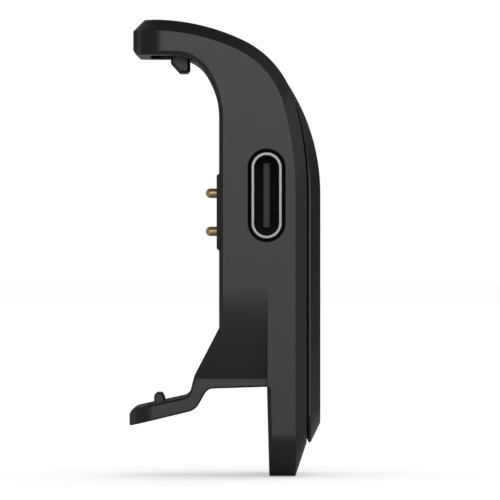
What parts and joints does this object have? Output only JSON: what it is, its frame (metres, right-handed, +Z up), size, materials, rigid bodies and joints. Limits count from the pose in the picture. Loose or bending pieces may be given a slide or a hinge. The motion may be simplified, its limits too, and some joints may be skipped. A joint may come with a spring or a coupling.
{
  "type": "watch charging clip",
  "caption": "C-shaped clip-on charging cradle for a golf GPS watch: hooked jaws, sprung gold contacts on a raised pad, side charging port and a separate outer cover.",
  "frame": {"origin": "centre of the contact pad's flat face", "axes": "+Z up the clip's long axis, +X away from the watch towards the outer cover, -Y towards the side with the charging port"},
  "size_m": [0.0199, 0.016, 0.0476],
  "materials": {
    "housing_plastic": "satin black moulded plastic with a fine spark texture",
    "cover_plastic": "satin black moulded plastic, a little smoother than the housing",
    "pad_plastic": "black moulded plastic",
    "seal_rubber": "dull black rubber",
    "gold_plate": "polished gold plate",
    "port_shell_steel": "bright stainless steel",
    "spring_steel": "drawn spring wire",
    "screw_steel": "zinc plated steel",
    "tongue_plastic": "black insulator",
    "board_laminate": "green solder mask",
    "chip_black": "black epoxy",
    "capacitor_ceramic": "tan ceramic"
  },
  "bodies": {
    "clip": {"main_housing": "housing_plastic", "outer_cover": "cover_plastic", "cover_gasket": "seal_rubber", "contact_carrier": "pad_plastic", "pin_spring_upper_port": "spring_steel", "pin_spring_upper_far": "spring_steel", "pin_spring_lower_port": "spring_steel", "pin_spring_lower_far": "spring_steel", "pin_barrel_upper_port": "gold_plate", "pin_barrel_upper_far": "gold_plate", "pin_barrel_lower_port": "gold_plate", "pin_barrel_lower_far": "gold_plate", "circuit_board": "board_laminate", "board_screws": "screw_steel", "usb_shell": "port_shell_steel", "usb_insulator": "tongue_plastic", "usb_shield_plate": "port_shell_steel", "usb_contacts": "gold_plate", "port_gasket": "seal_rubber", "chip_resistors": "chip_black", "chip_capacitors": "capacitor_ceramic", "surge_diode": "chip_black", "power_switch": "chip_black", "resettable_fuse": "capacitor_ceramic"},
    "pin_upper_port": {"contact_pin_upper_port": "gold_plate"},
    "pin_upper_far": {"contact_pin_upper_far": "gold_plate"},
    "pin_lower_port": {"contact_pin_lower_port": "gold_plate"},
    "pin_lower_far": {"contact_pin_lower_far": "gold_plate"}
  },
  "joints": [
    {"name": "contact_pin_upper_port_press", "type": "slide", "parent": "clip", "child": "pin_upper_port", "axis": [1, 0, 0], "range_m": [0, 0.0009], "stiffness_N_per_m": 400, "springref_m": -0.0006, "deforming": ["pin_spring_upper_port"]},
    {"name": "contact_pin_upper_far_press", "type": "slide", "parent": "clip", "child": "pin_upper_far", "axis": [1, 0, 0], "range_m": [0, 0.0009], "stiffness_N_per_m": 400, "springref_m": -0.0006, "deforming": ["pin_spring_upper_far"]},
    {"name": "contact_pin_lower_port_press", "type": "slide", "parent": "clip", "child": "pin_lower_port", "axis": [1, 0, 0], "range_m": [0, 0.0009], "stiffness_N_per_m": 400, "springref_m": -0.0006, "deforming": ["pin_spring_lower_port"]},
    {"name": "contact_pin_lower_far_press", "type": "slide", "parent": "clip", "child": "pin_lower_far", "axis": [1, 0, 0], "range_m": [0, 0.0009], "stiffness_N_per_m": 400, "springref_m": -0.0006, "deforming": ["pin_spring_lower_far"]}
  ]
}
